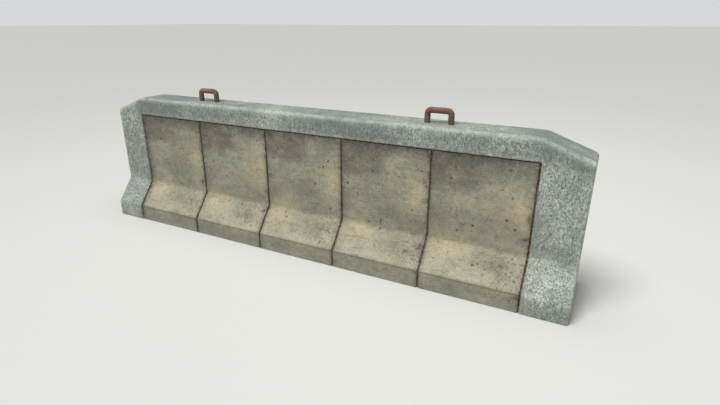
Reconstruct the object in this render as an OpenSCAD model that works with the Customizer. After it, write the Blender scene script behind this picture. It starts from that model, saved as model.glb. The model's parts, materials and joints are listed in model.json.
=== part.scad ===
// Precast concrete jersey barrier, three metres long.
// One grey casting carries five bent facing slabs in a pocket on each long side, closed by dark joint
// strips. A welded cage of bent and straight bars lies inside the casting, with two lifting loops.
// Millimetres. +X runs along the barrier, -Y is the front, +Z is up.
// The origin is the centre of the footprint, on the ground.

/* [Barrier] */
// Overall length
barrier_l = 3000; // [2400:10:3600]
// Height of the concrete above the ground
barrier_h = 825; // [760:5:1000]
// Width of the foot
base_w = 465; // [420:5:600]
// Width where the flare meets the stem
waist_w = 228; // [210:2:300]
// Width at the top of the stem
top_w = 220; // [200:2:280]
// Height of the upright toe
toe_h = 100; // [60:5:120]
// Height where the flare meets the stem
waist_h = 248; // [220:2:320]

/* [Sloped ends] */
// Length of the slope at each end of the top
end_cut_l = 233; // [150:1:260]
// Drop of the slope at each end of the top
end_cut_h = 85; // [40:1:100]

/* [Rounded edges] */
// Radius of the two long top edges
top_edge_r = 22; // [10:1:30]
// Radius in the hollow where the flare meets the stem
waist_r = 30; // [10:1:50]
// Radius where the toe meets the flare
toe_r = 12; // [4:1:20]
// Radius of the edges on the ground
foot_r = 5; // [3:1:10]
// Radius of the end faces' top and bottom edges
end_edge_r = 14; // [6:1:20]
// Radius of the bend where the top meets its sloped ends
kink_r = 60; // [20:5:120]

/* [Facing slabs] */
// Number of slabs on each side
slab_count = 5; // [3:1:6]
// Length of casting between the pocket and each end face
end_border = 220.5; // [180:0.5:320]
// Height of casting above the pocket
top_border = 110; // [85:5:220]
// Thickness of a slab
slab_t = 40; // [30:1:50]
// Depth of the slab's face behind the casting's face
slab_set = 5; // [2:1:10]
// Width of the upright joints
joint_w = 9; // [5:1:12]
// Height of the joint over the slabs
top_joint_w = 5; // [3:1:10]
// Depth of the joint strips behind the slab's face
strip_set = 9; // [4:1:15]

/* [Slab dowels] */
// Diameter of a dowel
dowel_d = 12; // [8:1:16]
// Length of a dowel in the slab
dowel_in_slab = 24; // [15:1:25]
// Length of a dowel in the casting
dowel_in_casting = 18; // [12:1:20]
// Distance of the dowels from the slab's upright edges
dowel_edge = 110; // [60:5:150]
// Distance of the top row of dowels below the pocket's top
dowel_down = 95; // [60:5:150]
// Distance of the middle row of dowels above the waist
dowel_up = 130; // [80:5:200]
// Distance of the low row of dowels below the flare's middle height
dowel_low = 20; // [0:5:25]

/* [Lifting loops] */
// Diameter of the loop's bar
loop_bar_d = 32; // [20:1:36]
// Centre distance of a loop's two legs
loop_span = 124; // [110:2:200]
// Height of a loop above the concrete
loop_rise = 78; // [70:1:110]
// Bend radius at the top corners, on the bar's centre line
loop_bend_r = 20; // [19:1:32]
// Centre distance of the two loops
loop_spacing = 1520; // [1000:10:1800]
// Depth of the hooks below the concrete's top
hook_depth = 470; // [350:10:500]
// Straight length of a hook
hook_l = 120; // [60:10:160]
// Bend radius at the hooks, on the bar's centre line
hook_bend_r = 60; // [45:5:80]

/* [Reinforcement] */
// Diameter of the long bars
long_bar_d = 16; // [10:1:16]
// Diameter of the hairpins, foot rings and flare bars
link_bar_d = 10; // [8:1:10]
// Bend radius of the hairpins and foot rings, on the bar's centre line
link_bend_r = 24; // [20:1:25]
// Height of a foot ring, between centre lines
ring_h = 52; // [50:1:60]
// Number of hairpins, each with a foot ring and two flare bars
link_count = 11; // [7:2:13]
// Concrete over the cage at the top and the foot
cover = 42; // [36:1:50]
// Concrete between the end face and the first hairpin's centre line
end_cover = 52; // [45:1:70]
// Concrete between the cage and the pocket's floor
web_cover = 21; // [20:1:24]
// Concrete over the ends of the long bars
bar_end_cover = 30; // [25:5:60]
// Height of the waist bars above the waist
waist_bar_up = 10; // [0:5:40]
// Length of a flare bar past the hairpin's leg
flare_lap = 20; // [10:5:30]
// Clear distance between the bent bars and a lifting loop's legs
leg_gap = 5; // [3:1:10]
// Depth to which crossing bars are pressed into each other at a weld
weld_sink = 1; // [0.8:0.1:1.5]
// Depth of the groove in a spacer block's top
groove = 3; // [2:0.5:4]
// Side of a square spacer block under the cage
spacer_side = 40; // [30:1:60]

/* [Hidden] */
past = 30;              // how far a cutting body runs past the surface that it opens

half_base = base_w / 2;
half_waist = waist_w / 2;
half_top = top_w / 2;
half_l = barrier_l / 2;

// ---- lists of points ----

function unit(v) = v / norm(v);
function left_normal(a, b) = let (d = unit(b - a)) [-d.y, d.x];

// Crossing point of the lines through a along u and through b along v.
function crossing(a, u, b, v) =
    let (det = u.x * v.y - u.y * v.x, t = ((b.x - a.x) * v.y - (b.y - a.y) * v.x) / det)
    a + t * u;

// An open path moved sideways by d, to the left of its direction.
function shifted(path, d) = [
    for (i = [0 : len(path) - 1])
        let (
            before = i > 0 ? [path[i - 1], path[i]] : [path[0], path[1]],
            after = i < len(path) - 1 ? [path[i], path[i + 1]] : before,
            n1 = left_normal(before[0], before[1]),
            n2 = left_normal(after[0], after[1])
        )
        norm(n1 - n2) < 1e-6
            ? path[i] + d * n1
            : crossing(path[i] + d * n1, before[1] - before[0], path[i] + d * n2, after[1] - after[0])
];

// The arc that rounds the corner b of the path a, b, c, as steps + 1 points.
function arc_at(a, b, c, r, steps) =
    let (
        u = unit(a - b),
        v = unit(c - b),
        half = acos(max(-1, min(1, u * v))) / 2,
        centre = b + unit(u + v) * r / sin(half),
        first = b + u * r / tan(half) - centre,
        last = b + v * r / tan(half) - centre,
        turn = 180 - 2 * half,
        side = sign(first.x * last.y - first.y * last.x)
    )
    [for (k = [0 : steps]) let (t = side * turn * k / steps)
        centre + [first.x * cos(t) - first.y * sin(t), first.x * sin(t) + first.y * cos(t)]];

// A path with its inner corners rounded by radii[i], in steps[i] steps.
function rounded(path, radii, steps) = [
    for (i = [0 : len(path) - 1])
        each (i == 0 || i == len(path) - 1 || radii[i] <= 0
            ? [path[i]]
            : arc_at(path[i - 1], path[i], path[i + 1], radii[i], steps[i]))
];

function mirrored(path) = [for (i = [len(path) - 1 : -1 : 0]) [-path[i].x, path[i].y]];

// ---- the barrier's section, as [distance from the middle plane, height] ----

function stem_half(z) =
    half_waist + (half_top - half_waist) * (z - waist_h) / (barrier_h - waist_h);

// The long face on one side, from the ground up to height top.
function face_path(top) =
    [[half_base, 0], [half_base, toe_h], [half_waist, waist_h], [stem_half(top), top]];

// The face moved depth into the concrete. The first and last points lie on the lines z = low and z = high.
function face_at(depth, low, high) =
    let (p = shifted(face_path(barrier_h), depth), stem = p[3] - p[2])
    [
        [p[1].x, low],
        p[1],
        p[2],
        p[2] + stem * (high - p[2].y) / stem.y
    ];

function face_rounded(depth, low, high) =
    rounded(face_at(depth, low, high), [0, max(1, toe_r - depth), waist_r + depth, 0], [0, 4, 6, 0]);

// The layer between two depths behind the long face, as a closed outline.
function layer(outer, inner, low, high) = concat(
    face_rounded(outer, low, high),
    [for (p = [3 : -1 : 0]) face_at(inner, low, high)[p]]
);

// Distance from the middle plane to the face moved depth into the concrete, at height z.
function face_y(depth, z) =
    let (p = face_at(depth, 0, barrier_h), k = z < p[1].y ? 0 : z < p[2].y ? 1 : 2)
    p[k].x + (p[k + 1].x - p[k].x) * (z - p[k].y) / (p[k + 1].y - p[k].y);

// The casting's section, with its long edges rounded.
function section() =
    let (
        side = rounded(
            [[0, 0], each face_path(barrier_h), [0, barrier_h]],
            [0, foot_r, toe_r, waist_r, top_edge_r, 0],
            [0, 2, 4, 6, 6, 0]
        ),
        right = [for (i = [1 : len(side) - 2]) side[i]]
    )
    concat(right, mirrored(right));

// The casting's outline from the front, with its sloped top corners.
function front_outline() =
    let (
        side = rounded(
            [
                [0, 0],
                [half_l, 0],
                [half_l, barrier_h - end_cut_h],
                [half_l - end_cut_l, barrier_h],
                [0, barrier_h]
            ],
            [0, end_edge_r, end_edge_r, kink_r, 0],
            [0, 3, 3, 3, 0]
        ),
        right = [for (i = [1 : len(side) - 2]) side[i]]
    )
    concat(right, mirrored(right));

// Height of the top at a distance from the end face.
function top_at(from_end) = barrier_h - end_cut_h * max(0, 1 - from_end / end_cut_l);

// Runs an outline of the section along X from x0 to x1, on the side +Y.
module along(x0, x1, outline)
    translate([x0, 0, 0])
        rotate([90, 0, 90])
            linear_extrude(x1 - x0)
                polygon(outline);

module on_both_sides() {
    children();
    mirror([0, 1, 0]) children();
}

// What is made on +Y goes to the front with side -1 and to the back with side 1.
module to_side(side) mirror([0, side < 0 ? 1 : 0, 0]) children();

module casting_skin()
    intersection() {
        along(-half_l, half_l, section());
        translate([0, half_base + past, 0])
            rotate([90, 0, 0])
                linear_extrude(base_w + 2 * past)
                    polygon(front_outline());
    }

// ---- facing slabs, joints and dowels ----

field_l = barrier_l - 2 * end_border;
slab_pitch = (field_l - joint_w) / slab_count;
pocket_depth = slab_set + slab_t;
pocket_top = barrier_h - top_border;
slab_top = pocket_top - top_joint_w;

function joint_x(i) = (i - slab_count / 2) * slab_pitch;

module pocket()
    along(-field_l / 2, field_l / 2, layer(-past, pocket_depth, -past, pocket_top));

module slab_solid(i)
    along(joint_x(i) + joint_w / 2, joint_x(i + 1) - joint_w / 2,
        layer(slab_set, pocket_depth, 0, slab_top));

strip_depth = slab_set + strip_set;

// The strip in an upright joint. Joint 0 and the last one lie between a slab and the casting.
module joint_strip(side, i)
    color([0.13, 0.12, 0.10]) to_side(side)
        along(joint_x(i) - joint_w / 2, joint_x(i) + joint_w / 2,
            layer(strip_depth, pocket_depth, 0, slab_top));

// The strip that runs over all the slabs.
module top_joint_strip(side)
    color([0.13, 0.12, 0.10]) to_side(side)
        along(-field_l / 2, field_l / 2, [
            [face_y(strip_depth, slab_top), slab_top],
            [face_y(strip_depth, pocket_top), pocket_top],
            [face_y(pocket_depth, pocket_top), pocket_top],
            [face_y(pocket_depth, slab_top), slab_top]
        ]);

// Heights of the dowels: two rows in the stem and one in the flare.
dowel_rows = [pocket_top - dowel_down, waist_h + dowel_up, (toe_h + waist_h) / 2 - dowel_low];

module dowels_of_slab(i)
    for (x = [joint_x(i) + dowel_edge, joint_x(i + 1) - dowel_edge], z = dowel_rows)
        let (floor_y = face_y(pocket_depth, z))
        translate([x, floor_y - dowel_in_casting, z])
            rotate([-90, 0, 0])
                cylinder(d = dowel_d, h = dowel_in_casting + dowel_in_slab, $fn = 32);

module slab_dowels(side)
    color([0.55, 0.55, 0.54]) to_side(side)
        for (i = [0 : slab_count - 1]) dowels_of_slab(i);

module facing_slab(side, i)
    color([0.53, 0.52, 0.45]) to_side(side) difference() {
        slab_solid(i);
        dowels_of_slab(i);
    }

// ---- bent bars ----

// A straight bar from a to b.
module straight_bar(a, b, d) {
    v = b - a;
    translate(a)
        rotate([0, acos(v.z / norm(v)), atan2(v.y, v.x)])
            cylinder(d = d, h = norm(v), $fn = 32);
}

// A bar bent in the plane of X and Y along a path, with every inner corner bent to radius r.
// A closed path is bent at every corner.
module bent_bar(path, d, r, closed = false) {
    n = len(path);
    function at(i) = path[(i + n) % n];
    function cut(i) = !closed && (i == 0 || i == n - 1) ? 0
        : let (u = unit(at(i - 1) - at(i)), v = unit(at(i + 1) - at(i))) r / tan(acos(u * v) / 2);
    for (i = [0 : closed ? n - 1 : n - 2]) {
        u = unit(at(i + 1) - at(i));
        a = at(i) + u * cut(i);
        b = at(i + 1) - u * cut((i + 1) % n);
        straight_bar([a.x, a.y, 0], [b.x, b.y, 0], d);
    }
    for (i = [closed ? 0 : 1 : closed ? n - 1 : n - 2]) {
        u = unit(at(i - 1) - at(i));
        v = unit(at(i + 1) - at(i));
        half = acos(u * v) / 2;
        centre = at(i) + unit(u + v) * r / sin(half);
        middle = at(i) - centre;
        turn = 180 - 2 * half;
        translate([centre.x, centre.y, 0])
            rotate([0, 0, atan2(middle.y, middle.x) - turn / 2])
                rotate_extrude(angle = turn, $fn = 96)
                    translate([r, 0]) circle(d = d, $fn = 32);
    }
}

// ---- lifting loops ----

loop_top = barrier_h + loop_rise - loop_bar_d / 2;
hook_z = barrier_h - hook_depth;

module lifting_loop_bar(x) {
    leg = loop_span / 2;
    tail = leg + hook_bend_r + hook_l;
    translate([x, 0, 0]) rotate([90, 0, 0]) {
        bent_bar([[-leg, (hook_z + loop_top) / 2], [-leg, loop_top], [leg, loop_top],
            [leg, (hook_z + loop_top) / 2]], loop_bar_d, loop_bend_r);
        for (s = [-1, 1])
            bent_bar([[s * leg, (hook_z + loop_top) / 2], [s * leg, hook_z], [s * tail, hook_z]],
                loop_bar_d, hook_bend_r);
    }
}

module lifting_loop(side)
    color([0.45, 0.30, 0.26]) lifting_loop_bar(side * loop_spacing / 2);

// ---- reinforcement: bent bars are set out in whole millimetres ----

cage_depth = pocket_depth + web_cover + link_bar_d / 2;    // from the long face to a bar's centre line
beside = link_bar_d - weld_sink;                            // between bars welded side by side
inside = (link_bar_d + long_bar_d) / 2 - weld_sink;         // between a bent bar and a long bar in it
link_low = cover + link_bar_d / 2;
ring_top = link_low + ring_h;
hairpin_half = floor(min(face_y(cage_depth, pocket_top), face_y(cage_depth, waist_h)));
ring_half = floor(face_y(cage_depth + link_bend_r, ring_top - link_bend_r)) + link_bend_r;

// A place along the barrier moved off the lifting loops' legs.
function off_legs(x) =
    let (
        room = ceil((loop_bar_d + link_bar_d) / 2) + leg_gap,
        legs = [for (s = [-1, 1]) loop_spacing / 2 + s * loop_span / 2],
        near = [for (leg = legs) if (abs(abs(x) - leg) < room) leg]
    )
    len(near) == 0 ? x : sign(x) * (near[0] + (abs(x) < near[0] ? -room : room));
function link_x(i) =
    off_legs(round((i - (link_count - 1) / 2) * (barrier_l - 2 * end_cover) / (link_count - 1)));
function hairpin_top(i) = floor(top_at(half_l - abs(link_x(i))) - cover - link_bar_d / 2);

module in_section(x) translate([x, 0, 0]) rotate([90, 0, 90]) children();

module hairpin_bar(i)
    in_section(link_x(i)) bent_bar([
        [-hairpin_half, link_low],
        [-hairpin_half, hairpin_top(i)],
        [hairpin_half, hairpin_top(i)],
        [hairpin_half, link_low]
    ], link_bar_d, link_bend_r);

module hairpin(i)
    color([0.34, 0.27, 0.23]) difference() {
        hairpin_bar(i);
        all_long_bars();
    }

module foot_ring_bar(i)
    in_section(link_x(i) + beside) bent_bar([
        [-ring_half, link_low],
        [-ring_half, ring_top],
        [ring_half, ring_top],
        [ring_half, link_low]
    ], link_bar_d, link_bend_r, closed = true);

module foot_ring(i)
    color([0.34, 0.27, 0.23]) difference() {
        foot_ring_bar(i);
        all_long_bars();
        hairpin_bar(i);
    }

// Straight bars along the flare, from the toe to past the hairpin's legs.
module flare_bar_pair(i) {
    p = face_at(cage_depth, 0, barrier_h);
    low = p[1];
    high = p[2] + unit(p[2] - p[1]) * flare_lap;
    x = link_x(i) - beside;
    for (s = [-1, 1])
        straight_bar([x, s * low.x, low.y], [x, s * high.x, high.y], link_bar_d);
}

module flare_bars()
    color([0.34, 0.27, 0.23]) for (i = [0 : link_count - 1]) difference() {
        flare_bar_pair(i);
        hairpin_bar(i);
    }

// The long bars in pairs, each as
// [distance from the middle plane, height, distance of their ends from the end faces].
stem_bar_y = hairpin_half - inside;
foot_bar_y = ring_half - inside;
foot_bar_z = link_low + link_bend_r;
waist_bar_z = waist_h + waist_bar_up;
top_bar_z = barrier_h - cover - link_bar_d / 2 - link_bend_r;
// The top pair stops where the end slope would leave too little concrete over it.
slope_end = ceil(end_cut_l * (top_bar_z + long_bar_d / 2 + cover - barrier_h + end_cut_h) / end_cut_h);
long_bars = [
    [stem_bar_y, top_bar_z, max(bar_end_cover, slope_end)],
    [stem_bar_y, round((top_bar_z + waist_bar_z) / 2), bar_end_cover],
    [stem_bar_y, waist_bar_z, bar_end_cover],
    [foot_bar_y, foot_bar_z, bar_end_cover],
    [stem_bar_y, foot_bar_z, bar_end_cover]
];

module long_bar_pair(k)
    for (s = [-1, 1])
        translate([-half_l + long_bars[k][2], s * long_bars[k][0], long_bars[k][1]])
            rotate([0, 90, 0])
                cylinder(d = long_bar_d, h = barrier_l - 2 * long_bars[k][2], $fn = 32);

module all_long_bars() for (k = [0 : len(long_bars) - 1]) long_bar_pair(k);

module long_bar(k) color([0.34, 0.27, 0.23]) long_bar_pair(k);

// Blocks that carry the cage in the form, under every second foot ring, grooved for its bar.
module block_pair(i)
    for (s = [-1, 1])
        translate([link_x(i) + beside - spacer_side / 2, s * ring_half / 2 - spacer_side / 2, 0])
            cube([spacer_side, spacer_side, cover + groove]);

module spacer_blocks()
    color([0.60, 0.60, 0.56]) for (i = [0 : 2 : link_count - 1]) difference() {
        block_pair(i);
        foot_ring_bar(i);
    }

// ---- the casting ----

module casting()
    color([0.60, 0.63, 0.59]) difference() {
        casting_skin();
        on_both_sides() pocket();
        on_both_sides() for (i = [0 : slab_count - 1]) dowels_of_slab(i);
        for (s = [-1, 1]) lifting_loop_bar(s * loop_spacing / 2);
        for (i = [0 : link_count - 1]) {
            hairpin_bar(i);
            foot_ring_bar(i);
            flare_bar_pair(i);
        }
        all_long_bars();
        for (i = [0 : 2 : link_count - 1]) block_pair(i);
    }

// ---- nodes ----

function numbered(name, count) = [for (i = [1 : count]) str(name, i < 10 ? "_0" : "_", i)];
FRONT_SLABS = numbered("front_slab", slab_count);
BACK_SLABS = numbered("back_slab", slab_count);
FRONT_STRIPS = numbered("front_joint_strip", slab_count + 1);
BACK_STRIPS = numbered("back_joint_strip", slab_count + 1);
LONG_BARS = ["top_bars", "middle_bars", "waist_bars", "foot_outer_bars", "foot_inner_bars"];
HAIRPINS = numbered("hairpin", link_count);
FOOT_RINGS = numbered("foot_ring", link_count);

casting();
top_joint_strip(-1);  // front_top_joint_strip
top_joint_strip(1);  // back_top_joint_strip
slab_dowels(-1);  // front_slab_dowels
slab_dowels(1);  // back_slab_dowels
lifting_loop(-1);  // lifting_loop_left
lifting_loop(1);  // lifting_loop_right
flare_bars();
spacer_blocks();
for (i = [0 : slab_count - 1]) {
    facing_slab(-1, i);
    facing_slab(1, i);
}
for (i = [0 : slab_count]) {
    joint_strip(-1, i);
    joint_strip(1, i);
}
for (k = [0 : len(long_bars) - 1])
    long_bar(k);
for (i = [0 : link_count - 1]) {
    hairpin(i);
    foot_ring(i);
}
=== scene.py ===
"""A weathered precast concrete barrier, three metres long, on a pale floor in soft studio light.

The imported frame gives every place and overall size. The casting, the facing slabs and the lifting
loops are replaced by detailed meshes; the joint strips, dowels, blocks and cage keep their CAD shapes.
All lengths are metres. +X runs along the barrier, -Y is the front, +Z is up.
"""

import json
import math

import bmesh
import bpy
import numpy as np
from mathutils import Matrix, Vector

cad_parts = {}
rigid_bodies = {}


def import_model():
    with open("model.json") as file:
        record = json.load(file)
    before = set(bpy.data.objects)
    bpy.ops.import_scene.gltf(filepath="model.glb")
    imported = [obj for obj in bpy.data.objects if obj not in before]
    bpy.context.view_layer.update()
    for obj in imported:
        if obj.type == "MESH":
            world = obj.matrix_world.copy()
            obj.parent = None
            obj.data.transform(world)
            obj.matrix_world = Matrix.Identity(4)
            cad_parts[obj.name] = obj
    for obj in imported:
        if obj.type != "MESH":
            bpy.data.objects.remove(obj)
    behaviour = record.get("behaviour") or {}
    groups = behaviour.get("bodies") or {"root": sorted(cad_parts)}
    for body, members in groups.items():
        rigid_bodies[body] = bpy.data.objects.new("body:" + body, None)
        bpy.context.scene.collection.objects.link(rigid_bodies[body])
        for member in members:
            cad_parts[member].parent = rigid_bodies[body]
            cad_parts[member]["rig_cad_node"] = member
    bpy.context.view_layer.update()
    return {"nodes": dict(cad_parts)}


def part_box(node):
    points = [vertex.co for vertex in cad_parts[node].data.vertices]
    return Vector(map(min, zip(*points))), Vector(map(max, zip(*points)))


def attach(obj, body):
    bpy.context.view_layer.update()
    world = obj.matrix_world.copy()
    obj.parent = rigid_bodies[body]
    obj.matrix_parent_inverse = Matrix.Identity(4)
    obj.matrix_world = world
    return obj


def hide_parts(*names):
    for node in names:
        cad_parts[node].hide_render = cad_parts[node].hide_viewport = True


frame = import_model()

# ---- sizes ----

CASTING_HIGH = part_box("casting")[1]
HALF_LENGTH = CASTING_HIGH.x
HALF_BASE = CASTING_HIGH.y
HEIGHT = CASTING_HIGH.z

# The casting's section, its sloped ends and its roundings.
TOE_HEIGHT = 0.100
WAIST_HEIGHT = 0.248
HALF_WAIST = 0.114
HALF_TOP = 0.110
END_CUT_LENGTH = 0.233
END_CUT_DROP = 0.085
KINK_LENGTH = 0.030
TOE_RADIUS = 0.012
WAIST_RADIUS = 0.030
TOP_RADIUS = 0.022
LEAST_RADIUS = 0.0004

POCKET_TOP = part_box("front_top_joint_strip")[1].z
POCKET_HALF_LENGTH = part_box("front_top_joint_strip")[1].x
POCKET_DEPTH = 0.045
SLAB_SET = HALF_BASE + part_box("front_slab_01")[0].y
SLAB_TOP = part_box("front_slab_01")[1].z
SLAB_COUNT = sum(name.startswith("front_slab_0") for name in frame["nodes"])

BAR_RADIUS = 0.016
LOOP_SPAN = 0.124
LOOP_BEND = 0.020
HOOK_BEND = 0.060
LOOPS = {side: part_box(f"lifting_loop_{side}") for side in ("left", "right")}
LOOP_X = {side: (low.x + high.x) / 2 for side, (low, high) in LOOPS.items()}
LEG_X = [x + s * LOOP_SPAN / 2 for x in LOOP_X.values() for s in (-1, 1)]

STEP = 0.0105         # grid spacing on the casting
SLAB_STEP = 0.0055    # grid spacing on the slabs
EDGE_STEPS = (0.0008, 0.002, 0.004, 0.0065, 0.010, 0.015, 0.021)    # finer rows near an edge
POCKET_EDGE_STEPS = (0.0004, 0.004, 0.010)     # finer rows under the pocket's top edge
POCKET_WALL = 0.0003                           # run along X of the pocket's end wall
LEG_REACH = 0.030                              # finer columns this far each way from a loop's leg
LEG_STEP = 0.003
END_COLUMNS = 14                               # grid spaces across an end face
WALL_SHARES = (0.33, 0.66, 1.0)                # rings of points between a slab's front and back
BAR_STEP = 0.004                               # spacing of sections along a loop's bar
BAR_SIDES = 28
TAIL_STEPS = 30                                # sections along the last straight of a loop's bar
GROUND_GAP = 0.0004       # height of the casting's underside, so that the blocks in it show
SHARP_ANGLE = math.radians(50)

SLAB_SEEDS = {"front": 300, "back": 350}
SLAB_SEED_STEP = 4
LOOP_SEEDS = {"left": 201, "right": 233}
PIT_COUNT = 16            # air holes modelled in each slab's face


# ---- noise on points, the same in every run ----

def lattice(cells, seed):
    """A number from -1 to 1 for each whole-number point."""
    h = cells[..., 0] * 374761393 + cells[..., 1] * 668265263
    h = h + cells[..., 2] * 2147483647 + seed * 1274126177
    h = h.astype(np.int64) & 0xFFFFFFFF
    h = ((h ^ (h >> 13)) * 1274126177) & 0xFFFFFFFF
    h = ((h ^ (h >> 16)) * 2246822519) & 0xFFFFFFFF
    return ((h ^ (h >> 15)) & 0xFFFF) / 32767.5 - 1.0


def noise(points, size, seed):
    """Smooth noise from -1 to 1 with features of the given size."""
    p = np.asarray(points, float) / size + 1000.0
    cell = np.floor(p).astype(np.int64)
    f = p - cell
    f = f * f * f * (f * (f * 6 - 15) + 10)
    total = np.zeros(p.shape[:-1])
    for dx in (0, 1):
        for dy in (0, 1):
            for dz in (0, 1):
                weight = (
                    (f[..., 0] if dx else 1 - f[..., 0])
                    * (f[..., 1] if dy else 1 - f[..., 1])
                    * (f[..., 2] if dz else 1 - f[..., 2])
                )
                total += weight * lattice(cell + np.array([dx, dy, dz]), seed)
    return total


def rough(points, size, octaves, seed):
    """Several octaves of noise, about -1 to 1."""
    total = sum(noise(points, size / 2**k, seed + k) / 2**k for k in range(octaves))
    return total / (2 - 2 ** (1 - octaves))


def smoothstep(low, high, value):
    """0 at low and 1 at high, with a smooth change between them; low may be the greater."""
    t = np.clip((value - low) / (high - low), 0, 1)
    return t * t * (3 - 2 * t)


# ---- the barrier's section, as rows of (distance from the middle plane, height) ----

FLARE_ANGLE = math.atan2(HALF_BASE - HALF_WAIST, WAIST_HEIGHT - TOE_HEIGHT)


def stem_half(z):
    """Half the stem's thickness at a height."""
    return HALF_WAIST + (HALF_TOP - HALF_WAIST) * (z - WAIST_HEIGHT) / (HEIGHT - WAIST_HEIGHT)


def arc(a, b, c, radius, steps):
    """The rounding of the corner b between a and c."""
    u = (a - b) / np.linalg.norm(a - b)
    v = (c - b) / np.linalg.norm(c - b)
    half = math.acos(float(np.clip(u @ v, -1, 1))) / 2
    centre = b + (u + v) / np.linalg.norm(u + v) * radius / math.sin(half)
    start = b + u * radius / math.tan(half) - centre
    end = b + v * radius / math.tan(half) - centre
    t = np.linspace(0, 1, steps + 1)[:, None]
    turn = math.pi - 2 * half
    return centre + (np.sin((1 - t) * turn) * start + np.sin(t * turn) * end) / math.sin(turn)


def fractions(length, step, fine_start=(), fine_end=()):
    """Places from 0 to 1 along a length, evenly spaced, with finer ones near its ends."""
    count = max(2, round(length / step))
    even = np.linspace(0, length, count + 1)
    keep = even[(even >= max(fine_start, default=0) + step * 0.5)
                & (even <= length - max(fine_end, default=0) - step * 0.5)]
    places = np.concatenate([[0, length], list(fine_start), length - np.array(fine_end, float), keep])
    return np.unique(np.round(places, 7)) / length


def on_line(a, b, t):
    return a + (b - a) * t[:, None]


def face_rows(depth, top, rows):
    """The long face at a depth, from the ground to the height top."""
    sink = depth * math.tan(FLARE_ANGLE / 2)
    foot = np.array([HALF_BASE - depth, 0.0])
    toe = np.array([HALF_BASE - depth, TOE_HEIGHT - sink])
    waist = np.array([HALF_WAIST - depth, WAIST_HEIGHT - sink])
    end = np.array([stem_half(top) - depth, top])
    toe_arc = arc(foot, toe, waist, max(TOE_RADIUS - depth, LEAST_RADIUS), 4)
    waist_arc = arc(toe, waist, end, WAIST_RADIUS + depth, 6)
    return np.concatenate([
        on_line(foot, toe_arc[0], rows["toe"]),
        toe_arc[1:-1],
        on_line(toe_arc[-1], waist_arc[0], rows["flare"]),
        waist_arc[1:-1],
        on_line(waist_arc[-1], end, rows["stem"]),
    ])


def row_places(step, top, fine_end):
    """Where the rows of points lie on each straight part of the long face."""
    flare_length = math.hypot(HALF_BASE - HALF_WAIST, WAIST_HEIGHT - TOE_HEIGHT)
    return {
        "toe": fractions(TOE_HEIGHT, step, fine_start=EDGE_STEPS),
        "flare": fractions(flare_length, step),
        "stem": fractions(top - WAIST_HEIGHT, step, fine_end=fine_end),
    }


# ---- meshes ----

def grid_quads(columns, rows):
    """The faces of a grid whose points are listed column by column."""
    i, j = np.meshgrid(np.arange(columns - 1), np.arange(rows - 1), indexing="ij")
    a = (i * rows + j).ravel()
    return np.stack([a, a + rows, a + rows + 1, a + 1], axis=1).tolist()


def new_mesh(name, points, faces, masks):
    """A closed mesh piece with smooth shading and one named number per point for each mask."""
    mesh = bpy.data.meshes.new(name)
    faces = [[int(corner) for corner in face] for face in faces]
    mesh.from_pydata(np.asarray(points, float).tolist(), [], faces)
    for mask, values in masks.items():
        layer = mesh.attributes.new(mask, "FLOAT", "POINT")
        layer.data.foreach_set("value", np.asarray(values, np.float32).ravel())
    work = bmesh.new()
    work.from_mesh(mesh)
    bmesh.ops.recalc_face_normals(work, faces=work.faces)
    work.to_mesh(mesh)
    work.free()
    mesh.shade_smooth()
    mesh.set_sharp_from_angle(angle=SHARP_ANGLE)
    piece = bpy.data.objects.new(name, mesh)
    bpy.context.scene.collection.objects.link(piece)
    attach(piece, "root")
    return piece


def worn_edge(distance, radius):
    """How far an edge is worn in at a distance from it: a circle's quarter."""
    short = np.clip(radius - distance, 0, radius)
    return radius - np.sqrt(np.maximum(radius**2 - short**2, 0))


# ---- the casting ----

def top_height(x):
    """Height of the top at x, with a soft kink where it turns down to each end."""
    past = END_CUT_LENGTH + KINK_LENGTH / 2 - (HALF_LENGTH - np.abs(x))
    slope = END_CUT_DROP / END_CUT_LENGTH
    bend = np.clip(past, 0, KINK_LENGTH)
    return HEIGHT - slope * (bend**2 / (2 * KINK_LENGTH) + np.maximum(past - KINK_LENGTH, 0))


def casting_columns():
    """Places along X: even, with finer ones at the ends, at the pocket's edges and at the loops' legs."""
    ends = [HALF_LENGTH - e for e in (0, *EDGE_STEPS)]
    pocket = [POCKET_HALF_LENGTH + e for e in (0, *EDGE_STEPS)] + [POCKET_HALF_LENGTH - POCKET_WALL]
    fine = np.array(ends + pocket)
    near_leg = np.arange(-LEG_REACH, LEG_REACH + 0.0001, LEG_STEP)
    legs = np.concatenate([x + near_leg for x in LEG_X])
    fine = np.concatenate([fine, -fine, legs])
    even = np.linspace(-HALF_LENGTH, HALF_LENGTH, round(2 * HALF_LENGTH / STEP) + 1)
    clear = np.min(np.abs(even[:, None] - fine[None, :]), axis=1) > STEP * 0.4
    return np.unique(np.round(np.concatenate([even[clear], fine]), 6))


def casting_ring(top, depth, rows):
    """Half a section of the casting, from the ground up to the middle of the top."""
    side = face_rows(depth, POCKET_TOP, rows)
    start = side[-1]
    corner = np.array([stem_half(top) - depth, top - depth])
    middle = np.array([0.0, top - depth])
    top_arc = arc(start, corner, middle, max(TOP_RADIUS - depth, LEAST_RADIUS), 6)
    return np.concatenate([
        side,
        on_line(start, top_arc[0], rows["border"])[1:],
        top_arc[1:-1],
        on_line(top_arc[-1], middle, rows["top"]),
    ])


def casting_sections(xs, rows):
    """For each place along X, the whole section at the skin and at the pocket's floor."""
    outer, inner = [], []
    for x in xs:
        top = float(top_height(x))
        for rings, depth in ((outer, 0.0), (inner, POCKET_DEPTH)):
            half = casting_ring(top, depth, rows)
            mirror = half[-2::-1] * np.array([-1, 1])
            rings.append(np.concatenate([half, mirror]))
    return np.array(outer), np.array(inner)


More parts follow.
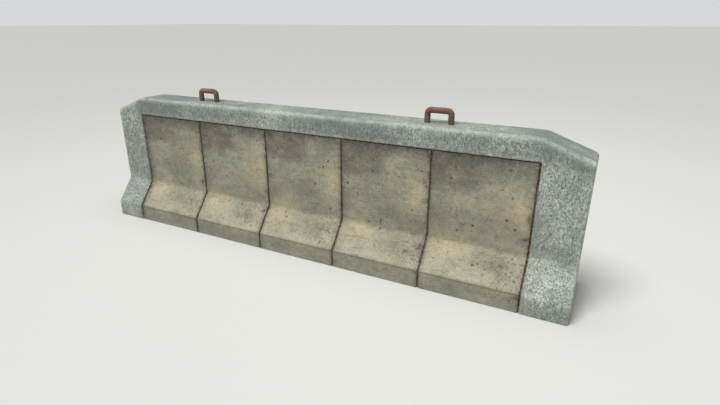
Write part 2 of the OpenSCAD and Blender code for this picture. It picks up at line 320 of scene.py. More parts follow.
def casting_distances(place):
    """How far each point is from an end, the pocket's edge, the top's corner and a loop's leg,
    and how far it is below the top's rounding."""
    x, y, z = place[..., 0], place[..., 1], place[..., 2]
    top = top_height(x)
    past_pocket_x = np.maximum(np.abs(x) - POCKET_HALF_LENGTH, 0)
    past_pocket_z = np.maximum(z - POCKET_TOP, 0)
    return {
        "end": HALF_LENGTH - np.abs(x),
        "pocket": np.hypot(past_pocket_x, past_pocket_z),
        "corner": np.hypot(np.maximum(stem_half(top) - np.abs(y), 0), np.maximum(top - z, 0)),
        "leg": np.min([np.hypot(x - leg, y) for leg in LEG_X], axis=0) - BAR_RADIUS,
        "top": top - TOP_RADIUS - z,
    }


def casting_wear(place, near, in_pocket):
    """How far the skin is worn in: rounded and chipped edges, an uneven face, a dip at each leg."""
    z = place[..., 2]
    wander = rough(place, 0.07, 3, 11)
    chips = smoothstep(0.25, 0.75, rough(place, 0.045, 3, 23))
    end_radius = 0.014 + 0.004 * wander + 0.010 * chips
    foot_radius = 0.005 + 0.002 * wander + 0.010 * chips
    pocket_radius = 0.0035 + 0.0015 * wander + 0.005 * chips
    at_foot = np.abs(place[..., 1]) > HALF_BASE * 0.5
    worn = np.maximum(worn_edge(near["end"], end_radius), worn_edge(z, foot_radius) * at_foot)
    worn = np.maximum(worn, np.where(in_pocket, 0, worn_edge(near["pocket"], pocket_radius)))
    worn += 0.0035 * chips * np.exp(-((near["corner"] / 0.022) ** 2))

    surface = 0.0008 * (1 + rough(place, 0.35, 2, 31)) + 0.0004 * (1 + rough(place, 0.03, 3, 37))
    on_top = z > HEIGHT - 0.03
    at_leg = np.where(on_top, np.exp(-((near["leg"] / 0.006) ** 2)), 0)
    at_leg = np.where(on_top & (near["leg"] < 0), 1, at_leg)
    surface += 0.0025 * at_leg
    return worn + surface


def casting_masks(place, near):
    """Where the casting is worn bare, rusty under a loop with painted shade at each leg's foot, dark with
    dirt and painted shade at the slabs, or damp, with painted shade in a band above the waist.
    """
    x, z = place[..., 0], place[..., 2]
    wear = np.exp(-near["end"] / 0.012) + np.exp(-near["pocket"] / 0.006)
    wear = wear + np.exp(-((near["corner"] / 0.022) ** 2))
    wear = np.clip(wear, 0, 1) * (0.45 + 0.55 * rough(place, 0.02, 3, 51))
    # Around each loop's leg on the top: rust stain, with painted shade in the dark ring at the leg's
    # foot.
    rust = np.exp(-np.maximum(near["leg"], 0) / 0.012) * (z > HEIGHT - 0.04)
    # Dark brown at the pocket's edge: dirt, and painted shade where the casting overhangs the slabs.
    joint = np.exp(-near["pocket"] / 0.009) * smoothstep(0.0, 0.02, z)      # none on the underside

    edge_wander = 0.02 * rough(place, 0.09, 4, 61)
    under_corner = np.exp(-(((near["corner"] + edge_wander - 0.045) / 0.020) ** 2))
    damp_and_shade = 0.75 * under_corner * smoothstep(0.30, 0.22, near["end"])
    # A band just above the waist, on the steep face over the flare: painted shade.
    damp_and_shade += 0.45 * np.exp(-(((z + edge_wander - WAIST_HEIGHT - 0.045) / 0.045) ** 2))
    # Darker towards the bottom, below the toe's height.
    damp_and_shade += 0.45 * smoothstep(TOE_HEIGHT, TOE_HEIGHT - 0.03, z + edge_wander)
    along_top = 0.25 + 0.45 * smoothstep(0.10, -0.15, rough(place, 0.42, 3, 67))
    damp_and_shade += along_top * smoothstep(0.03, 0.0, near["top"] - 0.06)
    damp_and_shade += 0.35 * smoothstep(0.15, -0.2, rough(place, 0.16, 3, 71))
    drier_end = smoothstep(POCKET_HALF_LENGTH, POCKET_HALF_LENGTH + 0.06, -x)
    damp_and_shade *= 1 - 0.7 * drier_end
    return {
        "wear": wear,
        "rust": rust * (0.6 + 0.4 * rough(place, 0.01, 2, 57)),
        "joint": joint,
        "damp_and_shade": np.clip(damp_and_shade, 0, 1),
    }


def close_end(points, faces, end, first, count, wall_rows):
    """Closes one end: a grid between the two long faces, and one polygon under the top."""
    right = first + np.arange(wall_rows)
    left = first + count - 1 - np.arange(wall_rows)
    table = np.zeros((wall_rows, END_COLUMNS + 1), int)
    table[:, 0], table[:, -1] = right, left
    for k in range(1, END_COLUMNS):
        share = k / END_COLUMNS
        between = points[right] * (1 - share) + points[left] * share
        sunk = 0.0006 * (1 + rough(between, 0.05, 3, 41))
        between[:, 0] -= end * sunk
        table[:, k] = len(points) + np.arange(wall_rows)
        points = np.concatenate([points, between])
    for j in range(wall_rows - 1):
        for k in range(END_COLUMNS):
            faces.append([table[j, k], table[j, k + 1], table[j + 1, k + 1], table[j + 1, k]])
    crown = range(first + wall_rows - 1, first + count - wall_rows + 1)
    faces.append([*crown, *table[-1, END_COLUMNS - 1:0:-1]])
    faces.append([*table[0, :0:-1], table[0, 0]])          # the sliver beside the underside
    return points


def make_casting():
    rows = row_places(STEP, POCKET_TOP, fine_end=POCKET_EDGE_STEPS)
    rows["border"] = fractions(HEIGHT - TOP_RADIUS - POCKET_TOP, STEP, fine_start=EDGE_STEPS)
    rows["top"] = fractions(HALF_TOP - TOP_RADIUS, STEP)
    xs = casting_columns()
    outer, inner = casting_sections(xs, rows)
    count = outer.shape[1]
    x = np.broadcast_to(xs[:, None], outer.shape[:2])
    place = np.concatenate([x[..., None], outer], axis=2)
    near = casting_distances(place)

    inward = inner - outer
    inward /= np.maximum(np.linalg.norm(inward, axis=2, keepdims=True), 1e-9)
    in_pocket = (np.abs(x) < POCKET_HALF_LENGTH - 0.0001) & (outer[..., 1] < POCKET_TOP - 0.0002)
    depth = np.where(in_pocket, POCKET_DEPTH, casting_wear(place, near, in_pocket))
    line = np.where(in_pocket[..., None], inner, outer + inward * depth[..., None])
    points = np.stack([x, line[..., 0], np.maximum(line[..., 1], GROUND_GAP)], axis=2).reshape(-1, 3)

    faces = grid_quads(len(xs), count)
    for a in range(0, (len(xs) - 1) * count, count):       # the underside
        b = a + count
        faces.append([a, b, b + count - 1, a + count - 1])
    wall_rows = (count + 1) // 2 - len(rows["top"]) + 1
    for end, first in ((-1, 0), (1, (len(xs) - 1) * count)):
        points = close_end(points, faces, end, first, count, wall_rows)

    spare = np.zeros(len(points) - x.size)                 # the points inside the end faces
    masks = {k: np.concatenate([v.ravel(), spare]) for k, v in casting_masks(place, near).items()}
    casting = new_mesh("concrete_casting", points, faces, masks)
    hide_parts("casting")
    return casting


# ---- the facing slabs ----

def rim(columns, rows):
    """The border of a grid, once round from its low corner: column and row of each point."""
    across, up = np.arange(columns), np.arange(rows)
    i = [across, np.full(rows - 1, columns - 1), across[-2::-1], np.zeros(rows - 2, int)]
    j = [np.zeros(columns, int), up[1:], np.full(columns - 1, rows - 1), up[-2:0:-1]]
    return np.concatenate(i), np.concatenate(j)


def close_slab(points, floor):
    """Adds the walls, which run from the worn front edge to the pocket's floor, and the back."""
    nx, nz = floor.shape[:2]
    faces = grid_quads(nx, nz)
    i, j = rim(nx, nz)
    rings = [i * nz + j]
    edge = points[rings[0]]
    for share in WALL_SHARES:
        rings.append(len(points) + np.arange(len(i)))
        points = np.concatenate([points, edge * (1 - share) + floor[i, j] * share])
    for a, b in zip(rings[:-1], rings[1:]):
        faces += np.stack([a, np.roll(a, -1), np.roll(b, -1), b], axis=1).tolist()

    back = rings[-1]
    right_top = nx - 1 + nz - 1
    left_top = right_top + nx - 1
    right = back[nx - 1:right_top + 1]
    left = np.concatenate([back[left_top:], back[:1]])[::-1]
    faces.append([*back[:nx], right[1], left[1]])
    for k in range(1, nz - 2):
        faces.append([left[k], right[k], right[k + 1], left[k + 1]])
    faces.append([left[nz - 2], right[nz - 2], *back[right_top:left_top + 1]])
    return points, faces


def make_slab(node, seed):
    low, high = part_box(node)
    side = -1 if low.y < 0 else 1
    low_end = low.x < -POCKET_HALF_LENGTH + 0.02
    rows = row_places(SLAB_STEP, SLAB_TOP, fine_end=EDGE_STEPS)
    face = face_rows(SLAB_SET, SLAB_TOP, rows)
    back = face_rows(POCKET_DEPTH, SLAB_TOP, rows)
    width = high.x - low.x
    us = fractions(width, SLAB_STEP, fine_start=EDGE_STEPS, fine_end=EDGE_STEPS)
    xs = low.x + us * width
    nx, nz = len(xs), len(face)
    x = np.broadcast_to(xs[:, None], (nx, nz))
    front = np.broadcast_to(face[None], (nx, nz, 2))
    inner = np.broadcast_to(back[None], (nx, nz, 2))
    inward = (inner - front) / np.linalg.norm(inner - front, axis=2, keepdims=True)
    z = front[..., 1]
    place = np.stack([x, side * front[..., 0], z], axis=2)

    from_side = np.minimum(x - low.x, high.x - x)
    from_top = SLAB_TOP - z
    wander = rough(place, 0.06, 3, seed)
    chips = smoothstep(0.2, 0.7, rough(place, 0.035, 3, seed + 7))
    radius = 0.0028 + 0.0012 * wander + 0.0045 * chips
    worn = np.maximum(worn_edge(from_side, radius), worn_edge(from_top, radius))
    worn = np.maximum(worn, worn_edge(z, radius * 1.4))
    surface = 0.0007 * (1 + rough(place, 0.22, 2, seed + 13))
    surface = surface + 0.00035 * (1 + rough(place, 0.02, 3, seed + 17))
    groove = np.exp(-(((z - TOE_HEIGHT) / 0.0025) ** 2))
    surface += 0.0009 * groove * (0.6 + 0.4 * rough(place, 0.03, 2, seed + 19))
    run = row_run(face)
    hole = np.zeros((nx, nz))
    for (pit_x, pit_run, pit_radius), pit_depth in zip(*slab_pits(width, seed)):
        gap = np.hypot(x - low.x - pit_x, run[None, :] - pit_run)
        hole = np.maximum(hole, pit_depth * smoothstep(pit_radius * 1.3, pit_radius * 0.5, gap))
    depth = worn + surface + hole
    line = front + inward * depth[..., None]
    points = np.stack([x, side * line[..., 0], np.maximum(line[..., 1], 0)], axis=2).reshape(-1, 3)
    floor = np.stack([x, side * inner[..., 0], inner[..., 1]], axis=2)
    points, faces = close_slab(points, floor)

    u = (x - low.x) / width
    v = run[None, :] / run[-1]
    masks = slab_masks(place, u, np.broadcast_to(v, u.shape), z, from_side, from_top, seed, low_end)
    masks["wear"] = np.clip(np.exp(-np.minimum(from_side, from_top) / 0.004), 0, 1) * (0.4 + 0.6 * chips)
    masks["pit"] = np.clip(hole / 0.002, 0, 1)
    spare = np.full(len(points) - nx * nz, 0.3)            # the points of the walls and the back
    masks = {key: np.concatenate([values.ravel(), spare]) for key, values in masks.items()}
    piece = new_mesh(f"{node}_concrete", points, faces, masks)
    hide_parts(node)
    return piece


def row_run(face):
    """Distance along the face from the ground, for each row."""
    return np.concatenate([[0], np.cumsum(np.linalg.norm(np.diff(face, axis=0), axis=1))])


def slab_pits(width, seed):
    """Air holes left on the slab's face: (across, up the face, radius), and how deep each is."""
    pick = np.random.default_rng(seed)
    pits = [(pick.uniform(0.03, width - 0.03), pick.uniform(0.12, 0.76), pick.uniform(0.0035, 0.0075))
            for _ in range(PIT_COUNT)]
    return pits, pick.uniform(0.0012, 0.0030, len(pits))


def blob(u, v, centre_u, centre_v, size_u, size_v):
    """A soft oval spot on a slab; places and sizes are shares of its width and of its run upwards."""
    return np.exp(-(((u - centre_u) / size_u) ** 2) - (((v - centre_v) / size_v) ** 2))


def slab_masks(place, u, v, z, from_side, from_top, seed, low_end):
    """Where a slab is warm, stained or dark, and where painted shade darkens its edges. Every slab was
    cast and weathered in the same way.
    """
    jitter = 0.10 * rough(place, 0.10, 4, seed + 29)
    u, v = u + jitter, v + 0.6 * jitter
    warm = blob(u, v, 0.90, 0.66, 0.16, 0.12) + blob(u, v, 0.18, 0.33, 0.26, 0.10)
    warm += 0.5 * blob(u, v, 0.28, 0.86, 0.16, 0.06) + 0.45 * blob(u, v, 0.62, 0.15, 0.30, 0.08)
    pale = smoothstep(0.40, 0.34, v) * smoothstep(0.10, 0.14, v) + 0.7 * smoothstep(0.05, 0.02, v)
    stain = 0.8 * smoothstep(0.88, 0.98, v) + 0.9 * smoothstep(0.60, 0.42, u) * smoothstep(0.74, 0.82, v)
    stain += 0.45 * blob(u, v, 0.05, 0.55, 0.10, 0.22) + 0.40 * blob(u, v, 0.55, 0.50, 0.32, 0.14)
    stain += 0.55 * blob(u, v, 0.70, 0.27, 0.20, 0.07)
    # Dark brown at the top edge and the side edges: dirt, and painted shade under the casting's lip and
    # beside the joints.
    dirt_and_shade = np.exp(-from_side / 0.009) + np.exp(-from_top / 0.024)
    # At the low-X end, a wider painted shade along the slab's side edge.
    if low_end:
        dirt_and_shade += 0.55 * smoothstep(0.055, 0.0, from_side) * (u < 0.5)
    freckles = blob(u, v, 0.86, 0.26, 0.22, 0.14) + 0.6 * blob(u, v, 0.24, 0.90, 0.20, 0.07)
    freckles += 0.5 * blob(u, v, 0.24, 0.62, 0.14, 0.08)
    pick = np.random.default_rng(seed + 3)
    spots = np.zeros_like(z)
    for height in (0.12, 0.34, 0.50, 0.66, 0.76, 0.93):
        edge = pick.choice([0.0, 1.0, 1.0])
        across, up = pick.uniform(0.025, 0.055), pick.uniform(0.010, 0.022)
        spots += blob(u, v, edge, height + pick.uniform(-0.02, 0.02), across, up)
    for _ in range(5):
        spots += 0.7 * blob(u, v, pick.uniform(0.1, 0.9), pick.uniform(0.15, 0.9), 0.014, 0.008)
    return {
        "warm": np.clip(warm, 0, 1),
        "stain": np.clip(stain, 0, 1),
        "dirt_and_shade": np.clip(dirt_and_shade, 0, 1),
        "spots": np.clip(spots, 0, 1),
        "freckles": np.clip(freckles, 0, 1),
        "pale": np.clip(pale, 0, 1),
        "line": np.exp(-(((z - TOE_HEIGHT + 0.004) / 0.005) ** 2)),
        "foot": smoothstep(TOE_HEIGHT + 0.012, TOE_HEIGHT - 0.012, z),
    }


# ---- the lifting loops ----

def loop_route(side):
    """The bar's centre line from hook to hook, as points a few millimetres apart."""
    low, high = LOOPS[side]
    top = high.z - BAR_RADIUS
    hook = low.z + BAR_RADIUS
    leg = LOOP_SPAN / 2
    tail = (high.x - low.x) / 2
    corners = [(-tail, hook), (-leg, hook), (-leg, top), (leg, top), (leg, hook), (tail, hook)]
    corners = [np.array(c) for c in corners]
    bends = [0, HOOK_BEND, LOOP_BEND, LOOP_BEND, HOOK_BEND, 0]
    route = [corners[0]]
    for k in range(1, len(corners) - 1):
        bend = arc(corners[k - 1], corners[k], corners[k + 1], bends[k], 12)
        length = np.linalg.norm(bend[0] - route[-1])
        steps = max(2, int(length / BAR_STEP))
        route.extend(on_line(route[-1], bend[0], np.linspace(0, 1, steps + 1)[1:]))
        route.extend(bend[1:])
    route.extend(on_line(route[-1], corners[-1], np.linspace(0, 1, TAIL_STEPS + 1)[1:]))
    route = np.array(route)
    return np.stack([route[:, 0] + LOOP_X[side], np.zeros(len(route)), route[:, 1]], axis=1)


def make_loop(side):
    route = loop_route(side)
    along = np.gradient(route, axis=0)
    along /= np.linalg.norm(along, axis=1, keepdims=True)
    across = np.array([0.0, 1.0, 0.0])
    normal = np.cross(along, across)
    angle = np.linspace(0, 2 * math.pi, BAR_SIDES, endpoint=False)
    ring = np.cos(angle)[None, :, None] * normal[:, None, :] + np.sin(angle)[None, :, None] * across
    bare = route[:, None, :] + ring * BAR_RADIUS
    seed = LOOP_SEEDS[side]
    scale = 0.0005 * (1 + rough(bare, 0.012, 3, seed))
    scale = scale + 0.0007 * smoothstep(0.2, 0.6, rough(bare, 0.007, 2, seed + 5))
    points = route[:, None, :] + ring * (BAR_RADIUS - scale)[..., None]
    faces = []
    last = (len(route) - 1) * BAR_SIDES
    for a in range(0, last, BAR_SIDES):
        b = a + BAR_SIDES
        for k in range(BAR_SIDES):
            m = (k + 1) % BAR_SIDES
            faces.append([a + k, a + m, b + m, b + k])
    faces.append(range(BAR_SIDES))
    faces.append(range(last + BAR_SIDES - 1, last - 1, -1))
    height = points[..., 2] - HEIGHT
    # Darker near the top face, where the bar goes into the concrete: dirt and painted shade.
    masks = {"foot_dirt_and_shade": np.exp(-np.abs(height) / 0.012), "pit": np.clip(scale / 0.0014, 0, 1)}
    piece = new_mesh(f"lifting_loop_{side}_bar", points.reshape(-1, 3), faces, masks)
    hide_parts(f"lifting_loop_{side}")
    return piece


# ---- materials ----

def linear(red, green, blue):
    """A colour given from 0 to 255 as seen on a screen, as the shader needs it."""
    def one(c):
        c /= 255
        return c / 12.92 if c <= 0.04045 else ((c + 0.055) / 1.055) ** 2.4
    return (one(red), one(green), one(blue), 1.0)


class Shader:
    """A material under construction: short calls for the nodes that the finishes share."""

    def __init__(self, name):
        self.material = bpy.data.materials.new(name)
        self.material.use_nodes = True
        self.tree = self.material.node_tree
        self.shader = self.tree.nodes["Principled BSDF"]
        self.place = self.new("ShaderNodeTexCoord").outputs["Object"]

    def new(self, kind, **settings):
        node = self.tree.nodes.new(kind)
        for key, value in settings.items():
            setattr(node, key, value)
        return node

    def join(self, source, socket):
        if hasattr(source, "links"):
            self.tree.links.new(source, socket)
        else:
            socket.default_value = source

    def stretched(self, x, y, z):
        node = self.new("ShaderNodeMapping")
        node.inputs["Scale"].default_value = (x, y, z)
        self.join(self.place, node.inputs["Vector"])
        return node.outputs["Vector"]

    def noise(self, scale, detail=4.0, roughness=0.55, distortion=0.0, place=None):
        node = self.new("ShaderNodeTexNoise")
        self.join(place or self.place, node.inputs["Vector"])
        node.inputs["Scale"].default_value = scale
        node.inputs["Detail"].default_value = detail
        node.inputs["Roughness"].default_value = roughness
        node.inputs["Distortion"].default_value = distortion
        return node.outputs["Fac"]

    def cells(self, scale):
        node = self.new("ShaderNodeTexVoronoi")
        self.join(self.place, node.inputs["Vector"])
        node.inputs["Scale"].default_value = scale
        return node

    def mask(self, name):
        """One of the numbers that the mesh keeps for each of its points."""
        node = self.new("ShaderNodeAttribute", attribute_name=name)
        return node.outputs["Fac"]

    def between(self, value, low, high, to_low=0.0, to_high=1.0):
        """A value's smooth way from low to high, turned into one from to_low to to_high."""
        node = self.new("ShaderNodeMapRange", interpolation_type="SMOOTHSTEP")
        self.join(value, node.inputs["Value"])
        limits = {"From Min": low, "From Max": high, "To Min": to_low, "To Max": to_high}
        for key, number in limits.items():
            node.inputs[key].default_value = number
        return node.outputs["Result"]

    def math(self, kind, a, b):
        node = self.new("ShaderNodeMath", operation=kind)
        self.join(a, node.inputs[0])
        self.join(b, node.inputs[1])
        return node.outputs["Value"]

    def mix(self, share, a, b):
        node = self.new("ShaderNodeMix", data_type="RGBA")
        self.join(share, node.inputs["Factor"])
        self.join(a, node.inputs["A"])
        self.join(b, node.inputs["B"])
        return node.outputs["Result"]

    def tint(self, colour, where, amount, shade):
        """The colour turned towards a shade, as far as the amount says, where a mask or noise is 1."""
        return self.mix(self.math("MULTIPLY", where, amount), colour, linear(*shade))

    def bump(self, height, strength, distance, under=None):
        node = self.new("ShaderNodeBump")
        node.inputs["Strength"].default_value = strength
        node.inputs["Distance"].default_value = distance
        self.join(height, node.inputs["Height"])
        if under is not None:
            self.join(under, node.inputs["Normal"])
        return node.outputs["Normal"]

    def cast_normal(self, coarse, coarse_depth, fine, holes):
        """Cast concrete's relief: coarse and fine grain, and its air holes."""
        normal = self.bump(self.noise(coarse, 6, 0.65), 0.35, coarse_depth)
        normal = self.bump(self.noise(fine, 5, 0.7), 0.35, 0.0012, normal)
        return self.bump(self.math("SUBTRACT", 1.0, holes), 0.6, 0.002, normal)

    def finish(self, colour, roughness, normal, metallic=0.0):
        self.join(colour, self.shader.inputs["Base Color"])
        self.join(roughness, self.shader.inputs["Roughness"])
        self.join(metallic, self.shader.inputs["Metallic"])
        self.join(normal, self.shader.inputs["Normal"])
        return self.material


def pinholes(s, scale, chance, size):
    """Small air holes: one near the middle of some of the cells."""
    cell = s.cells(scale)
    chosen = s.new("ShaderNodeSeparateColor")
    s.join(cell.outputs["Color"], chosen.inputs["Color"])
    here = s.between(chosen.outputs["Red"], 1 - chance, 1 - chance + 0.02)
    near = s.between(cell.outputs["Distance"], size, size * 0.45)
    return s.math("MULTIPLY", here, near)


def grey_concrete():
    """The casting: pale grey-green, cloudy and speckled, streaked down the faces, damp in bands, with
    painted shade above the waist, at the pocket's edge and round the loops' feet.
    """
    s = Shader("grey_concrete")
    clouds = s.noise(2.6, 5, 0.62, 0.6)
    mottle = s.noise(17, 9, 0.72, 0.3)
    streaks = s.noise(110, 6, 0.72, place=s.stretched(1.0, 1.0, 0.28))
    dark_streaks = s.noise(135, 5, 0.68, place=s.stretched(1.0, 1.0, 0.26))
    colour = s.mix(s.between(clouds, 0.36, 0.64), linear(136, 144, 134), linear(172, 179, 166))
    colour = s.tint(colour, s.between(mottle, 0.58, 0.40), 0.50, (120, 129, 122))
    colour = s.tint(colour, s.between(streaks, 0.50, 0.62), 0.50, (212, 218, 205))
    drips = s.between(dark_streaks, 0.52, 0.60, 0.0, 0.80)
    colour = s.mix(drips, colour, linear(98, 106, 100))
    grain = s.noise(105, 6, 0.78)
    patches = s.between(s.noise(5, 5, 0.65, 0.5), 0.42, 0.60, 0.12, 0.72)
    light_grains = s.math("MULTIPLY", s.between(grain, 0.50, 0.58), patches)
    colour = s.mix(light_grains, colour, linear(226, 231, 219))
    dark_grains = s.between(grain, 0.46, 0.39, 0.0, 0.62)
    colour = s.mix(dark_grains, colour, linear(84, 92, 86))
    flecks = s.noise(170, 3, 0.6, place=s.stretched(1.0, 1.0, 0.6))
    colour = s.tint(colour, s.between(flecks, 0.58, 0.66), 0.8, (62, 68, 64))
    pale = s.noise(120, 5, 0.7, place=s.stretched(1.0, 1.0, 0.5))
    colour = s.tint(colour, s.between(pale, 0.60, 0.68), 0.7, (222, 227, 218))
    # Damp patches and bands, and painted shade in the band just above the waist.
    colour = s.tint(colour, s.mask("damp_and_shade"), s.between(mottle, 0.25, 0.65, 0.35, 0.75), (98, 108, 107))
    colour = s.tint(colour, s.mask("wear"), 0.6, (214, 219, 210))
    holes = pinholes(s, 34, 0.30, 0.16)
    colour = s.tint(colour, holes, 0.75, (66, 70, 68))
    # Dark brown at the pocket's edge: dirt and painted shade.
    edge = s.math("MULTIPLY", s.mask("joint"), s.between(s.noise(90, 5, 0.7), 0.35, 0.60, 0.15, 0.75))
    colour = s.mix(edge, colour, linear(92, 84, 70))
    rust_stain_and_shade = s.mask("rust")
    colour = s.mix(s.between(rust_stain_and_shade, 0.15, 0.55, 0.0, 0.65), colour, linear(212, 206, 188))
    # The dark ring next to the leg: rust stain and painted shade.
    colour = s.mix(s.between(rust_stain_and_shade, 0.62, 0.85, 0.0, 0.80), colour, linear(84, 70, 58))
    normal = s.cast_normal(60, 0.004, 240, holes)
    return s.finish(colour, s.between(mottle, 0.3, 0.7, 0.95, 0.82), normal)


def facing_concrete():
    """The slabs: buff concrete with warm, chalky and dark stains, edges darkened by dirt and painted
    shade, and air holes.
    """
    s = Shader("facing_concrete")
    clouds = s.noise(5.5, 6, 0.62, 0.5, place=s.stretched(0.7, 1.0, 1.3))
    mottle = s.noise(30, 8, 0.7)
    grain = s.noise(130, 4, 0.7)
    colour = s.mix(s.between(clouds, 0.34, 0.66), linear(138, 137, 120), linear(164, 162, 142))
    colour = s.tint(colour, s.between(mottle, 0.58, 0.36), 0.36, (108, 107, 94))
    warm = s.math("MULTIPLY", s.mask("warm"), s.between(s.noise(40, 7, 0.72), 0.30, 0.56))
    colour = s.tint(colour, warm, 0.75, (196, 180, 142))
    chalk = s.math("MULTIPLY", s.mask("pale"), s.between(s.noise(14, 8, 0.66), 0.34, 0.60, 0.25, 1.0))
    colour = s.tint(colour, chalk, 0.36, (196, 195, 174))
    pale = s.between(s.noise(64, 6, 0.75), 0.54, 0.66)
    colour = s.tint(colour, pale, 0.45, (190, 188, 168))
    stain = s.math("MULTIPLY", s.mask("stain"), s.between(s.noise(16, 7, 0.7), 0.28, 0.55, 0.25, 1.0))
    colour = s.tint(colour, stain, 0.72, (86, 86, 80))
    smears = s.noise(34, 6, 0.7, place=s.stretched(0.30, 1.0, 1.6))
    colour = s.tint(colour, s.between(smears, 0.55, 0.66), 0.35, (96, 95, 86))
    colour = s.tint(colour, s.between(grain, 0.54, 0.62), 0.42, (88, 80, 64))
    colour = s.tint(colour, s.between(grain, 0.42, 0.34), 0.40, (196, 191, 168))
    # Dirt, and painted shade, along the slab's top and side edges.
    dirt_and_shade = s.math("MULTIPLY", s.mask("dirt_and_shade"), s.between(s.noise(40, 6, 0.75), 0.36, 0.56, 0.15, 1.0))
    colour = s.tint(colour, dirt_and_shade, 0.88, (64, 54, 42))
    spots = s.math("MULTIPLY", s.mask("spots"), s.between(s.noise(90, 4, 0.7), 0.34, 0.52))
    colour = s.tint(colour, spots, 0.85, (62, 50, 40))
    freckles = s.math("MULTIPLY", s.mask("freckles"), s.between(s.noise(75, 5, 0.7), 0.53, 0.60))
    colour = s.tint(colour, freckles, 0.8, (104, 66, 42))
    flecks = s.between(s.noise(150, 3, 0.6, place=s.stretched(1.0, 1.0, 1.3)), 0.60, 0.67)
    colour = s.tint(colour, flecks, 0.5, (62, 54, 42))
    holes = s.math("MAXIMUM", pinholes(s, 30, 0.28, 0.14), s.mask("pit"))
    colour = s.tint(colour, holes, 0.8, (52, 42, 34))
    colour = s.tint(colour, s.mask("foot"), 0.30, (96, 96, 84))
    colour = s.tint(colour, s.mask("line"), 0.50, (66, 58, 46))
    colour = s.tint(colour, s.mask("wear"), 0.25, (170, 164, 142))
    normal = s.cast_normal(70, 0.003, 260, holes)
    return s.finish(colour, s.between(mottle, 0.3, 0.7, 0.95, 0.80), normal)


def joint_filler():
    """Dark filler with dirt on it, dusty along the top of the field and at its low-X end."""
    s = Shader("joint_filler")
    dirt = s.noise(60, 6, 0.7)
    colour = s.mix(s.between(dirt, 0.38, 0.62), linear(60, 52, 42), linear(124, 112, 92))
    apart = s.new("ShaderNodeSeparateXYZ")
    s.join(s.place, apart.inputs["Vector"])
    at_end = s.between(apart.outputs["X"], -POCKET_HALF_LENGTH + 0.04, -POCKET_HALF_LENGTH + 0.01)
    at_top = s.between(apart.outputs["Z"], SLAB_TOP - 0.004, SLAB_TOP, 0.0, 0.7)
    at_edge = s.math("MAXIMUM", at_end, at_top)
    dust = s.between(s.noise(24, 5, 0.7), 0.3, 0.6, 0.5, 1.0)
    colour = s.tint(colour, at_edge, dust, (150, 143, 124))
    normal = s.bump(s.noise(180, 5, 0.7), 0.5, 0.002)
    return s.finish(colour, 0.92, normal)


def rusty_bar():
    """The lifting loops: brown rust, redder in patches, with pits and a foot darkened by dirt and painted
    shade.
    """
    s = Shader("rusty_bar")
    cloud = s.noise(26, 7, 0.68)
    warm = s.noise(14, 4, 0.6)
    fine = s.noise(260, 6, 0.75)
    colour = s.mix(s.between(cloud, 0.38, 0.62), linear(100, 74, 66), linear(128, 106, 97))
    colour = s.tint(colour, s.between(warm, 0.50, 0.60), 0.65, (132, 80, 63))
    colour = s.tint(colour, s.between(fine, 0.52, 0.66), 0.55, (138, 108, 84))
    colour = s.tint(colour, s.mask("pit"), 0.35, (82, 54, 46))
    # The bar's foot: dirt and painted shade.
    colour = s.tint(colour, s.mask("foot_dirt_and_shade"), 0.55, (96, 80, 72))
    normal = s.bump(fine, 0.5, 0.0008)
    return s.finish(colour, s.between(cloud, 0.3, 0.7, 0.88, 0.72), normal)


def mill_steel(name, rust):
    """Bare bar steel with patches of a rust colour."""
    s = Shader(name)
    patches = s.noise(60, 6, 0.7)
    colour = s.mix(s.between(patches, 0.40, 0.62), linear(98, 96, 94), linear(*rust))
    normal = s.bump(s.noise(300, 5, 0.7), 0.4, 0.0006)
    roughness = s.between(patches, 0.4, 0.62, 0.42, 0.80)
    metallic = s.between(patches, 0.40, 0.62, 0.9, 0.1)
    return s.finish(colour, roughness, normal, metallic)


def block_mortar():
    s = Shader("block_mortar")
    speck = s.noise(90, 7, 0.7)
    colour = s.mix(s.between(speck, 0.35, 0.65), linear(126, 128, 120), linear(166, 166, 156))
    normal = s.bump(speck, 0.4, 0.002)
    return s.finish(colour, 0.92, normal)


def floor_paint():
    s = Shader("floor")
    s.shader.inputs["Base Color"].default_value = linear(214, 214, 210)
    s.shader.inputs["Roughness"].default_value = 0.85
    return s.material


def dress(piece, material):
    """Gives a piece its material."""
    piece.data.materials.clear()
    piece.data.materials.append(material)


# ---- the object ----

concrete = grey_concrete()
facing = facing_concrete()
rust = rusty_bar()
dress(make_casting(), concrete)
for index in range(SLAB_COUNT):
    for side, first_seed in SLAB_SEEDS.items():
        slab = make_slab(f"{side}_slab_{index + 1:02d}", first_seed + SLAB_SEED_STEP * index)
        dress(slab, facing)
for side in LOOPS:
    dress(make_loop(side), rust)

filler = joint_filler()
cage_steel = mill_steel("cage_steel", (112, 72, 52))
dowel_steel = mill_steel("dowel_steel", (104, 92, 82))
mortar = block_mortar()
for name, node in frame["nodes"].items():
    if "joint_strip" in name:
        dress(node, filler)
    elif "dowel" in name:
        dress(node, dowel_steel)
    elif name == "spacer_blocks":
        dress(node, mortar)
    elif "bars" in name or "hairpin" in name or "foot_ring" in name:
        dress(node, cage_steel)


# ---- the studio ----

FLOOR_REACH = 120
CAMERA_PLACE = (1.502, -2.305, 1.308)
CAMERA_DOWN = 0.3636          # radians below level
CAMERA_TURN = 0.4754          # radians anticlockwise from looking along +Y
CAMERA_LENS, CAMERA_SENSOR = 24.03, 36      # millimetres
WORLD_LIGHT, WORLD_BACKDROP = 0.24, 0.70    # brightness that lights the object, and that is seen


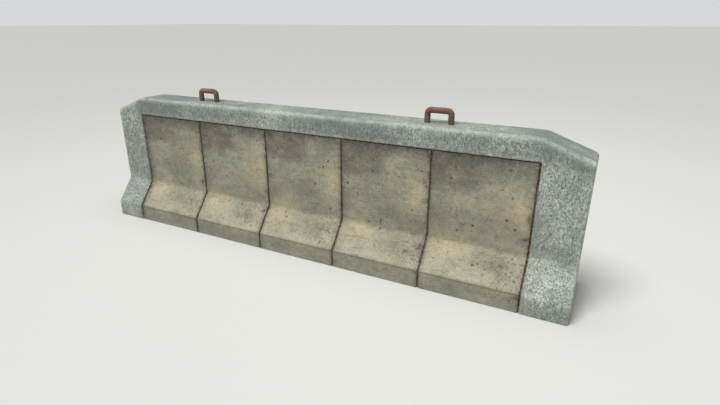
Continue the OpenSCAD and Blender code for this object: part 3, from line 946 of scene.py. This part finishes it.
def make_floor():
    mesh = bpy.data.meshes.new("floor")
    corners = [(x * FLOOR_REACH, y * FLOOR_REACH, 0) for x, y in ((-1, -1), (1, -1), (1, 1), (-1, 1))]
    mesh.from_pydata(corners, [], [(0, 1, 2, 3)])
    floor = bpy.data.objects.new("floor", mesh)
    bpy.context.scene.collection.objects.link(floor)
    mesh.materials.append(floor_paint())


def add_light(data, place, aim):
    light = bpy.data.objects.new(data.name, data)
    light.location = place
    away = light.location - Vector(aim)
    light.rotation_euler = away.to_track_quat("Z", "Y").to_euler()
    bpy.context.scene.collection.objects.link(light)


def soft_sun(name, place, aim, strength, spread):
    data = bpy.data.lights.new(name, "SUN")
    data.energy = strength
    data.angle = spread
    add_light(data, place, aim)


def soft_light(name, place, aim, size, power):
    data = bpy.data.lights.new(name, "AREA")
    data.shape = "DISK"
    data.size = size
    data.energy = power
    add_light(data, place, aim)


def make_camera():
    data = bpy.data.cameras.new("camera")
    data.sensor_width = CAMERA_SENSOR
    data.lens = CAMERA_LENS
    camera = bpy.data.objects.new("camera", data)
    camera.location = CAMERA_PLACE
    camera.rotation_euler = (math.pi / 2 - CAMERA_DOWN, 0, CAMERA_TURN)
    bpy.context.scene.collection.objects.link(camera)
    bpy.context.scene.camera = camera


def make_world():
    """An even, dim light all round, and a pale backdrop where the camera looks past the floor."""
    world = bpy.data.worlds.new("studio")
    world.use_nodes = True
    tree = world.node_tree
    background = tree.nodes["Background"]
    background.inputs["Color"].default_value = (0.97, 0.98, 1.0, 1)
    seen = tree.nodes.new("ShaderNodeLightPath").outputs["Is Camera Ray"]
    strength = tree.nodes.new("ShaderNodeMapRange")
    strength.inputs["To Min"].default_value = WORLD_LIGHT
    strength.inputs["To Max"].default_value = WORLD_BACKDROP
    tree.links.new(seen, strength.inputs["Value"])
    tree.links.new(strength.outputs["Result"], background.inputs["Strength"])
    bpy.context.scene.world = world


make_floor()
soft_sun("key", (-1.3, -2.5, 5.4), (0, 0, 0.2), 2.45, math.radians(28))
soft_light("fill", (4.5, -3.6, 2.6), (0, 0, 0.4), 3.0, 26)
soft_light("top", (0.2, 0.4, 5.4), (0, 0, 0.6), 4.0, 90)
make_camera()
make_world()
bpy.context.scene.view_settings.view_transform = "Standard"
